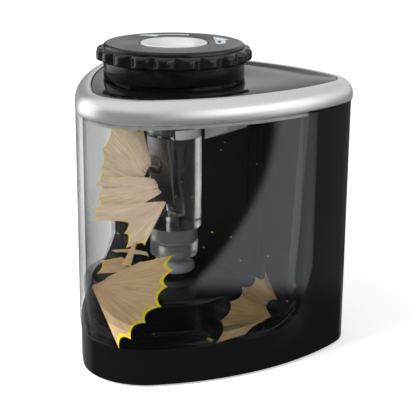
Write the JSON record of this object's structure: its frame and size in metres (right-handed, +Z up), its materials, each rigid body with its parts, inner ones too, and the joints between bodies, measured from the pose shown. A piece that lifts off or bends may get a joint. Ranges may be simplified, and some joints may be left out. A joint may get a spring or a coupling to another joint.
{
  "type": "pencil sharpener",
  "caption": "Upright battery pencil sharpener: clear wrap-round shavings bin, silver rim, scalloped twist knob with the pencil hole, cutter driven from a gear train in the base.",
  "frame": {"origin": "under the middle of the case, on the plane that the rubber feet stand on", "axes": "+Z up along the cutter, -Y to the front, where the clear bin pulls out"},
  "size_m": [0.0812, 0.0805, 0.0894],
  "materials": {
    "gloss_black": "glossy moulded ABS",
    "satin_black": "satin moulded ABS",
    "silver": "satin silver paint on plastic",
    "smoky_clear": "smoke-tinted clear polystyrene",
    "clear": "clear moulded plastic",
    "light_grey": "light grey moulded plastic",
    "white_nylon": "natural white nylon",
    "grey_nylon": "grey nylon",
    "steel": "ground steel",
    "brass": "turned brass",
    "rubber": "moulded rubber",
    "motor_case": "plated can, density near that of a whole small motor",
    "cell_wrap": "printed sleeve, density near that of a whole AA cell"
  },
  "bodies": {
    "case": {"body_shell": "gloss_black", "gearbox_cover": "gloss_black", "chamber_wall": "gloss_black", "top_deck": "gloss_black", "bottom_cover": "satin_black", "lock_ring": "satin_black", "motor_bracket": "satin_black", "battery_tray": "satin_black", "rim_bezel": "silver", "mechanism_plate": "light_grey", "gear_plate": "light_grey", "start_switch": "light_grey", "motor_end_cap": "white_nylon", "base_screw_1": "steel", "base_screw_2": "steel", "base_screw_3": "steel", "base_screw_4": "steel", "gear_axle_1": "steel", "gear_axle_2": "steel", "contact_spring_1": "steel", "contact_spring_2": "steel", "output_bush": "brass", "contact_bridge": "brass", "foot_1": "rubber", "foot_2": "rubber", "foot_3": "rubber", "foot_4": "rubber", "motor_can": "motor_case", "battery_1": "cell_wrap", "battery_2": "cell_wrap"},
    "bin": {"bin_shell": "smoky_clear"},
    "head": {"bearing_sleeve": "white_nylon"},
    "knob": {"knob": "satin_black", "funnel_insert": "silver"},
    "thrust": {"thrust_washer": "steel"},
    "cutter": {"cutter_carrier": "clear", "carrier_collar": "satin_black", "guide_bush": "white_nylon", "blade": "steel", "blade_screw": "steel", "cutter_cup": "clear"},
    "drive": {"output_gear": "white_nylon", "output_shaft": "steel", "drive_dog": "grey_nylon"},
    "gear_2": {"compound_gear_2": "white_nylon"},
    "gear_1": {"compound_gear_1": "white_nylon"},
    "motor_rotor": {"motor_shaft": "steel", "motor_pinion": "brass"},
    "lever": {"start_lever": "white_nylon"},
    "door": {"battery_door": "gloss_black"}
  },
  "joints": [
    {"name": "bin_slide", "type": "slide", "parent": "case", "child": "bin", "axis": [0, -1, 0], "range_m": [0, 0.062]},
    {"name": "head_lift", "type": "slide", "parent": "case", "child": "head", "axis": [0, 0, 1], "range_m": [0, 0.062]},
    {"name": "knob_twist", "type": "hinge", "parent": "head", "child": "knob", "pos_m": [-0.00245, -0.00015, 0.085], "axis": [0, 0, 1], "range_deg": [0, 30]},
    {"name": "cutter_press", "type": "slide", "parent": "head", "child": "thrust", "axis": [0, 0, -1], "range_m": [0, 0.0012], "stiffness_N_per_m": 1500, "springref_m": -0.0003},
    {"name": "cutter_spin", "type": "hinge", "parent": "thrust", "child": "cutter", "pos_m": [-0.00245, -0.00015, 0.05], "axis": [0, 0, 1], "continuous": true},
    {"name": "drive_spin", "type": "hinge", "parent": "case", "child": "drive", "pos_m": [-0.00245, -0.00015, 0.01], "axis": [0, 0, 1], "continuous": true},
    {"name": "gear_2_spin", "type": "hinge", "parent": "case", "child": "gear_2", "pos_m": [0.00822, 0.00534, 0.007], "axis": [0, 0, 1], "continuous": true},
    {"name": "gear_1_spin", "type": "hinge", "parent": "case", "child": "gear_1", "pos_m": [0.00941, 0.01728, 0.01], "axis": [0, 0, 1], "continuous": true},
    {"name": "motor_spin", "type": "hinge", "parent": "case", "child": "motor_rotor", "pos_m": [0.019, 0.0245, 0.015], "axis": [0, 0, 1], "continuous": true},
    {"name": "lever_tip", "type": "hinge", "parent": "case", "child": "lever", "pos_m": [0.01155, 0.0012, 0.0707], "axis": [0, -1, 0], "range_deg": [0, 13.5]},
    {"name": "door_pull", "type": "slide", "parent": "case", "child": "door", "axis": [-0.309, 0.9511, 0], "range_m": [0, 0.03]}
  ],
  "couplings": [
    {"joint": "drive_spin", "follows": "cutter_spin", "ratio": 1},
    {"joint": "gear_2_spin", "follows": "cutter_spin", "ratio": -3},
    {"joint": "gear_1_spin", "follows": "cutter_spin", "ratio": 9},
    {"joint": "motor_spin", "follows": "cutter_spin", "ratio": -27},
    {"joint": "lever_tip", "follows": "cutter_press", "rad_per_m": 192}
  ]
}
